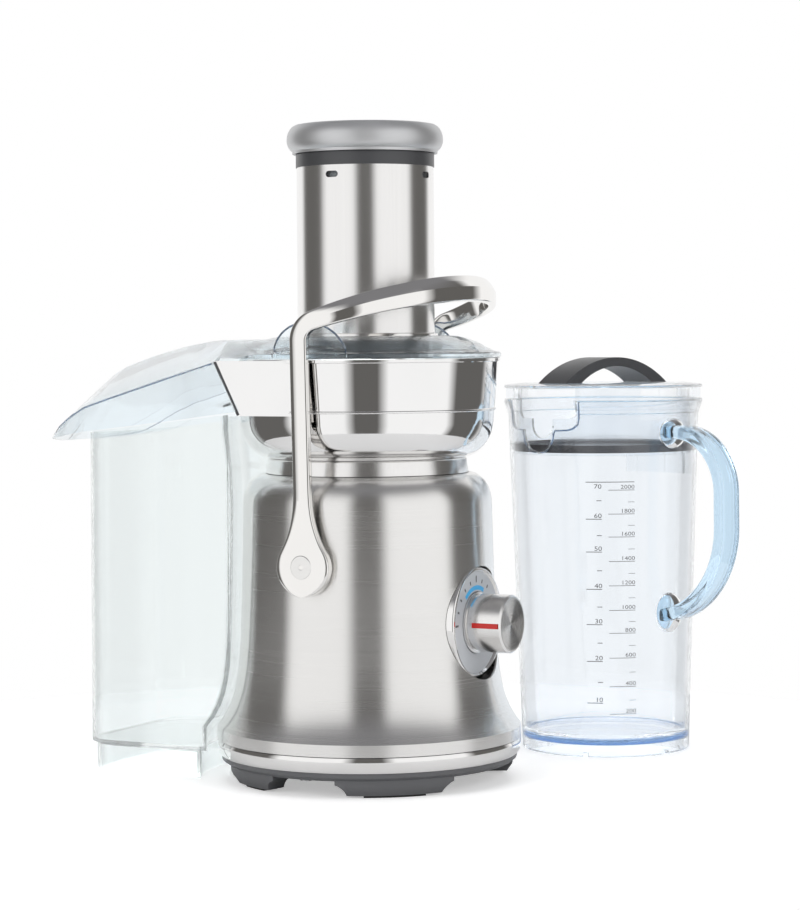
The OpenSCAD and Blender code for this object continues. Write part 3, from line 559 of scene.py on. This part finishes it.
def arm_half():
    """Centres, outward and upward directions, half thickness, half width and depth of the ridge,
    for one half of the arm. Upright: straight from the boss to the bend. Bend: a quarter circle
    less the tilt. Loop: a quarter of an ellipse in a tilted plane. Near the pivot the half width
    follows the boss's circle, then falls smoothly to the upright's own."""
    z = np.concatenate([PIVOT[2] - BOSS_R * np.cos(np.linspace(0.01, np.pi / 2, 36)),
                        np.linspace(PIVOT[2] + 1, BEND_Z, 70)])
    above = z - PIVOT[2]
    x = BOSS_X + (ARM_X - BOSS_X) * np.clip(above / (BEND_Z - PIVOT[2]), 0, 1)
    circle = np.sqrt(np.maximum(BOSS_R ** 2 - above ** 2, 0))
    flare = HALF_WIDE + 11.2 * (1 - np.clip((above - 9) / 44, 0, 1)) ** 2.6
    wide = np.where(above < 9, circle, flare)
    thick = HALF_THICK + np.clip(1 - above / 22, 0, 1)
    n = len(z)
    rows = [np.stack([x, np.full(n, PIVOT[1]), z], -1)]
    out = [np.tile([1.0, 0, 0], (n, 1))]
    up = [np.tile([0.0, 1, 0], (n, 1))]
    q = np.linspace(0, np.pi / 2 - TILT, BEND_ROWS + 1)[1:]
    rows.append(np.stack([np.full(BEND_ROWS, ARM_X), PIVOT[1] - BEND_R * (1 - np.cos(q)),
                          BEND_Z + BEND_R * np.sin(q)], -1))
    out.append(np.tile([1.0, 0, 0], (BEND_ROWS, 1)))
    up.append(np.stack([0 * q, np.cos(q), np.sin(q)], -1))
    end = rows[-1][-1]
    a = np.linspace(0, np.pi / 2, LOOP_ROWS + 1)[1:]
    run, across = LOOP_REACH * np.sin(a), ARM_X * np.cos(a)
    rows.append(np.stack([across, end[1] - run * np.cos(TILT), end[2] + run * np.sin(TILT)], -1))
    nx, ny = LOOP_REACH * np.cos(a), ARM_X * np.sin(a)
    length = np.hypot(nx, ny)
    nx, ny = nx / length, ny / length
    out.append(np.stack([nx, -ny * np.cos(TILT), ny * np.sin(TILT)], -1))
    up.append(np.tile([0, np.sin(TILT), np.cos(TILT)], (LOOP_ROWS, 1)))
    rest = np.ones(BEND_ROWS + LOOP_ROWS)
    swell = np.concatenate([np.zeros(n + BEND_ROWS), np.sin(a)])
    half_t = np.concatenate([thick, HALF_THICK * rest]) + swell
    half_w = np.concatenate([wide, HALF_WIDE * rest]) + 2.6 * swell
    ridge = RIDGE * np.concatenate([np.clip((above - 14) / 30, 0, 1), rest])
    ridge += RIDGE * np.clip(3 * swell, 0, 1)
    return (np.concatenate(rows), np.concatenate(out), np.concatenate(up), half_t, half_w, ridge)


def arm_section():
    """A rounded box: the signed 0.35 powers of cosine and sine. The third list says how far each
    outer point lies from the line of the ridge, from 0 at the line to 1 at either edge."""
    q = np.linspace(0, 2 * np.pi, 65)[:-1]
    t = np.sign(np.cos(q)) * np.abs(np.cos(q)) ** 0.35
    w = np.sign(np.sin(q)) * np.abs(np.sin(q)) ** 0.35
    fall = np.where(w > 0.12, (w - 0.12) / 0.88, (0.12 - w) / 1.12)
    return t, w, np.where(t > 0, fall, 0)


def make_arm():
    """The section carried along half of the arm, thinned away from the ridge, and its mirror."""
    centre, out, up, thick, wide, ridge = arm_half()
    t, w, fall = arm_section()
    t = t[None, :] * (1 - ridge[:, None] * fall[None, :])
    half = (centre[:, None] + out[:, None] * (t * thick[:, None])[..., None]
            + up[:, None] * (w[None, :] * wide[:, None])[..., None])
    other = half[-2::-1] * np.array([-1, 1, 1])
    grid = np.concatenate([half, other]) / 1000
    return piece_from_grid("arm_casting", grid, caps=True, flip=True, body="arm")


arm = make_arm()
arm.data.materials.append(finishes["polished_alloy"])
crisp(arm, 13)
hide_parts("locking_arm")
print("arm:", len(arm.data.polygons), "faces")

# %% [markdown]
# ## Dark edges of the clear mouldings
# Clear plastic gathers light inside its walls and lets it out at the edges, which therefore look
# deep blue. A fine blue thread laid along such an edge does the same. A thread is a small circle
# carried along a list of points. A thicker grey one seals each slanted rear edge of the bowl.

# %% Edge threads


def thread(name, points, radius, material, body, sides=8):
    """A round thread: at each point a circle, square to the line between its neighbours."""
    p = np.asarray(points, float)
    along = np.gradient(p, axis=0)
    along /= np.linalg.norm(along, axis=1)[:, None]
    guide = np.where(np.abs(along[:, 2:]) > 0.9, [[1.0, 0, 0]], [[0, 0, 1.0]])
    side = np.cross(along, guide)
    side /= np.linalg.norm(side, axis=1)[:, None]
    top = np.cross(side, along)
    q = np.linspace(0, 2 * np.pi, sides + 1)[:-1]
    grid = p[:, None] + radius * (side[:, None] * np.cos(q)[None, :, None]
                                  + top[:, None] * np.sin(q)[None, :, None])
    piece = piece_from_grid(name, grid / 1000, caps=True, flip=True, body=body)
    piece.data.materials.append(material)
    return piece


HOOD_WIDE, BOWL_CORNER, EASE_FROM, EASE_TO = 74, 92, 60, 120
CORNER_Y = [18, 68, 112, 167, 185, 198, 211, 222, 240.5]
CORNER_Z = [294, 286, 276.5, 260.5, 255, 248.5, 241, 234, 230]
FIN_X, FIN_Y, FIN_Z, FIN_HIGH = 81.0, 1, 291, 22


def hood_half(y):
    """Half the hood's width behind the bowl: a cosine ease to HOOD_WIDE, then a rounded end."""
    turn = np.pi * (y - EASE_FROM) / (EASE_TO - EASE_FROM)
    ease = HOOD_WIDE + (BOWL_CORNER - HOOD_WIDE) * (1 + np.cos(turn)) / 2
    back = HOOD_WIDE * np.maximum(0, 1 - np.maximum(0, (y - 180) / 61) ** 2.3) ** (1 / 2.3)
    return np.where(y <= EASE_TO, ease, back)


y = np.concatenate([np.linspace(70, 225, 40), np.linspace(227, 239.6, 16)])
z = np.interp(y, CORNER_Y, CORNER_Z) - 0.5
q = np.radians(np.linspace(0, 90, 24))
fin = np.concatenate([
    np.stack([FIN_Y + 25.5 * np.cos(q), FIN_Z + FIN_HIGH * np.sin(q)], -1),
    np.stack([FIN_Y - 30 * np.sin(q), FIN_Z + FIN_HIGH * np.cos(q) ** 1.2], -1)[1:-1]])
seal_z = np.linspace(250.6, 286.4, 12)
seal_y = 50.2 + (seal_z - 250) * 16.6 / 37
seal_x = 87.4 + 0.0947 * (seal_z - 247) - 0.7
for side, label in ((-1, "near"), (1, "far")):
    thread(f"hood_edge_{label}", np.stack([side * (hood_half(y) - 1.1), y, z], -1), 0.55,
           finishes["edge_blue"], "base")
    thread(f"fin_edge_{label}",
           np.stack([np.full(len(fin), side * FIN_X), fin[:, 0], fin[:, 1] - 0.6], -1), 0.6,
           finishes["edge_blue"], "base")
    thread(f"bowl_seal_{label}", np.stack([side * seal_x, seal_y, seal_z], -1), 1.35,
           finishes["grey_plastic"], "base", 12)
print("edge threads on the hood and the fins, and a grey seal on the bowl's rear edges")

# %% [markdown]
# ## Scale on the jug
# Two columns of lines and numbers are printed on the jug's side that faces the camera: wide-spaced
# ounces on the left and millilitres on the right. A flat print is wrapped round the jug: sideways
# places become angles, upright ones stay heights.

# %% Jug print
JUG = np.array([195.0, -92.0])
FACING = math.radians(203.6)
NOTCH = math.radians(159.5)
NECK_Z, FOOT_R, FLARE = 245, 61, 8.9


def wrap_on_jug(flat, lift=0.06):
    """Flat places (sideways, height) in mm become points on the jug's tapered side, just proud."""
    radius = FOOT_R + FLARE * flat[:, 1] / NECK_Z + lift
    angle = FACING + np.arcsin(flat[:, 0] / radius)
    return np.stack([JUG[0] + radius * np.cos(angle), JUG[1] + radius * np.sin(angle),
                     flat[:, 1]], -1)


STEPS = 9


def printed(name, patches, texts, material, body):
    """Rectangles (x0, x1, z0, z1) and numbers (text, right edge, foot, height) as one wrapped mesh.
    Each rectangle is cut into upright strips so that it can bend round the jug."""
    points, faces = [], []
    for x0, x1, z0, z1 in patches:
        x = np.linspace(x0, x1, STEPS)
        base = sum(len(p) for p in points)
        points += [np.stack([x, np.full(STEPS, z)], -1) for z in (z0, z1)]
        faces += [[base + i, base + i + 1, base + i + STEPS + 1, base + i + STEPS]
                  for i in range(STEPS - 1)]
    for text, right, foot, height in texts:
        curve = bpy.data.curves.new("number", "FONT")
        curve.body = text
        curve.size = height * 1.35
        curve.resolution_u = 3
        holder = bpy.data.objects.new("number", curve)
        mesh = bpy.data.meshes.new_from_object(holder)
        flat = np.zeros(len(mesh.vertices) * 3)
        mesh.vertices.foreach_get("co", flat)
        flat = flat.reshape(-1, 3)[:, :2] * np.array([1.25, 1.0])
        flat += np.array([right - flat[:, 0].max(), foot])
        base = sum(len(p) for p in points)
        points.append(flat)
        faces += [[base + v for v in face.vertices] for face in mesh.polygons]
        bpy.data.objects.remove(holder)
        bpy.data.curves.remove(curve)
        bpy.data.meshes.remove(mesh)
    mesh = bpy.data.meshes.new(name)
    mesh.from_pydata((wrap_on_jug(np.concatenate(points)) / 1000).tolist(), [], faces)
    piece = bpy.data.objects.new(name, mesh)
    bpy.context.scene.collection.objects.link(piece)
    mesh.materials.append(material)
    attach(piece, body)


OUNCES = {70: 197.5, 60: 171.1, 50: 147.6, 40: 120.9, 30: 95.6, 20: 69.2, 10: 39.3}
MILLILITRES = {2000: 191.8, 1800: 174.7, 1600: 158.3, 1400: 140.8, 1200: 123.4, 1000: 105.8,
               800: 89.4, 600: 71.6, 400: 51.1, 200: 31.4}
OUNCE_LEFT, OUNCE_RIGHT, MILLI_LEFT, MILLI_RIGHT = -12.9, -1.6, 3.2, 21.9
bars, numbers = [(OUNCE_LEFT, MILLI_RIGHT, 197.3, 197.8)], []
for amount, z in OUNCES.items():
    numbers.append((str(amount), OUNCE_RIGHT, z + (0.9 if amount < 70 else -4.6), 3.4))
    if amount < 70:
        bars.append((OUNCE_LEFT, OUNCE_RIGHT, z - 0.25, z + 0.25))
for amount, z in MILLILITRES.items():
    numbers.append((str(amount), MILLI_RIGHT, z + 0.9, 3.0))
    bars.append((MILLI_LEFT, MILLI_RIGHT, z - 0.2, z + 0.2))
for column, left, right, half in ((OUNCES, -5.2, OUNCE_RIGHT, 0.25),
                                  (MILLILITRES, 17.2, MILLI_RIGHT, 0.15)):
    levels = sorted(column.values())
    bars += [(left, right, (a + b) / 2 - half, (a + b) / 2 + half)
             for a, b in zip(levels, levels[1:])]
ink = moulded("print_ink", (0.1, 0.1, 0.11), 0.5, bump=0.02)
printed("jug_scale", bars, numbers, ink, "jug")
print("jug scale:", len(numbers), "numbers,", len(bars), "lines")

# %% [markdown]
# ## Tint where the jug is thick
# The jug's floor is a thick disc, and its edge glows blue all round. A narrow band set inside the
# wall, at the height of the floor, carries that tint.

# %% Jug floor tint
band = turned("jug_floor_edge", [(59.0, 8.6), (59.9, 9.6), (59.9, 11.4), (59.2, 12.6), (58.4, 11.4),
                                 (58.4, 9.6), (59.0, 8.6)], 160, JUG / 1000, "jug", flip=True)
band.data.materials.append(finishes["floor_blue"])

# %% [markdown]
# ## Rims of the jug and its lid
# The rims are thin rings of clear plastic seen edge on, so they too look blue. Each is a thread
# on a circle, and the notch that takes the nozzle has one down each side.

# %% Rims


def rim_thread(name, radius, height, thick, body, gap=0.0):
    """A circle of given radius and height round the jug's axis, as a thread. It stops short of the
    middle of the notch by gap, an angle, so that the nozzle can pass."""
    q = np.linspace(NOTCH + gap, NOTCH + 2 * np.pi - gap, 145)
    points = np.stack([JUG[0] + radius * np.cos(q), JUG[1] + radius * np.sin(q),
                       np.full(len(q), height)], -1)
    return thread(name, points, thick, finishes["handle_blue"], body)


rim_thread("jug_rim_edge", 71.6, 255.0, 0.6, "jug", gap=0.5)
rim_thread("jug_neck_edge", 69.0, 246.0, 0.35, "jug", gap=0.52)
rim_thread("lid_rim_edge", 71.8, 265.4, 0.7, "jug_lid")
NOTCH_PATH = np.array([[34.2, 255.2], [34.2, 243.0], [33.2, 238.6], [30.0, 235.6], [26.0, 234.4],
                       [16.6, 234.2], [15.6, 232.0], [14.6, 227.0], [11.4, 221.5], [6.5, 218.4],
                       [0.8, 217.7]])
across, height = NOTCH_PATH.T
depth = np.sqrt((60.0 + 9.0 * height / NECK_Z) ** 2 - across ** 2)
for name, side, thick in (("right", -1, 0.35), ("left", 1, 0.7)):
    points = np.stack([JUG[0] + depth * math.cos(NOTCH) - side * across * math.sin(NOTCH),
                       JUG[1] + depth * math.sin(NOTCH) + side * across * math.cos(NOTCH),
                       height], -1)
    thread(f"notch_edge_{name}", points, thick, finishes["edge_blue"], "jug")
print("rims of the jug done")

# %% [markdown]
# ## Roots of the jug's handle
# Where the handle grows out of the jug, the moulding swells into a smooth oval pad. A pad is half
# an egg: an ellipsoid with its middle just inside the wall.

# %% Handle roots
HANDLE_TURN = math.radians(249.5)
PAD_DEEP, PAD_WIDE, PAD_SUNK = 6.5, 12.5, 0.7


def root_pad(name, height, tall):
    """An ellipsoid whose three half sizes lie across the wall, along it, and upright."""
    outward = np.array([math.cos(HANDLE_TURN), math.sin(HANDLE_TURN), 0])
    sideways = np.array([-math.sin(HANDLE_TURN), math.cos(HANDLE_TURN), 0])
    wall = FOOT_R - PAD_SUNK + FLARE * height / NECK_Z
    a = np.linspace(0, np.pi, 25)[:, None]
    b = np.linspace(0, 2 * np.pi, 49)[None, :-1]
    middle = np.array([*JUG, height]) + outward * wall
    grid = (middle + outward * (PAD_DEEP * np.sin(a) * np.cos(b))[..., None]
            + sideways * (PAD_WIDE * np.sin(a) * np.sin(b))[..., None]
            + np.array([0, 0, 1.0]) * (tall * np.cos(a) * np.ones_like(b))[..., None])
    piece = piece_from_grid(name, grid / 1000, flip=True, body="jug")
    piece.data.materials.append(finishes["handle_blue"])


root_pad("handle_root_top", 231.5, 11.0)
root_pad("handle_root_low", 102.5, 14.5)
print("handle roots done")

# %% [markdown]
# ## Face of the knob
# The end of the knob is a shallow cone turned on a lathe, so light fans out from its middle; its
# finish
#  also paints these fans into its colour as highlight and shade. It is a turned disc of rings that
#  lies just proud of the knob's end.

# %% Knob face
DISC_R, DISC_Y, DISC_DEEP = 17.2, -108.68, 1.4
r = np.linspace(0.02, DISC_R, 24)[:, None]
q = np.linspace(0, 2 * np.pi, 97)[:-1]
disc = np.stack([r * np.cos(q), DISC_Y - DISC_DEEP * r / DISC_R + 0 * q,
                 KNOB_Z + r * np.sin(q)], -1)
disc_piece = piece_from_grid("knob_end", disc / 1000, flip=True, body="knob")
disc_piece.data.materials.append(knob_face)
print("knob end turned")

# %% [markdown]
# ## Marks on the dial
# The plate round the knob carries short ticks and one blue arc at the top, for the best speed.
# Each mark is a sector of a ring: straight sides, two arcs, and no thickness, a hair's breadth
# above the plate.

# %% Dial marks
MARK_Y, MARK_STEPS = -83.06, 33


def ring_mark(name, r0, r1, start, end, material):
    """A sector between two radii and two clock angles in degrees, on the plate's front face."""
    q = np.radians(np.linspace(start, end, MARK_STEPS))
    x, z = np.sin(q), np.cos(q)
    rows = [np.stack([r * x, np.full(MARK_STEPS, MARK_Y), KNOB_Z + r * z], -1) for r in (r0, r1)]
    piece = piece_from_grid(name, np.stack(rows) / 1000, closed=False, body="base")
    piece.data.materials.append(material)


arc_blue = moulded("arc_blue", (0.06, 0.45, 0.85), 0.4, bump=0.02)
ring_mark("dial_arc", 22.0, 25.0, -42, 28, arc_blue)
for i, clock in enumerate((-90, -72, -54, -36, -18, 0, 18, 36)):
    long = clock in (-90, 0)
    ring_mark(f"dial_tick_{i}", 27.0, 31.5 if long else 29.5, clock - 1.4, clock + 1.4, ink)
print("dial marked")

# %% [markdown]
# ## Closing

# %% Finish
print("finished")
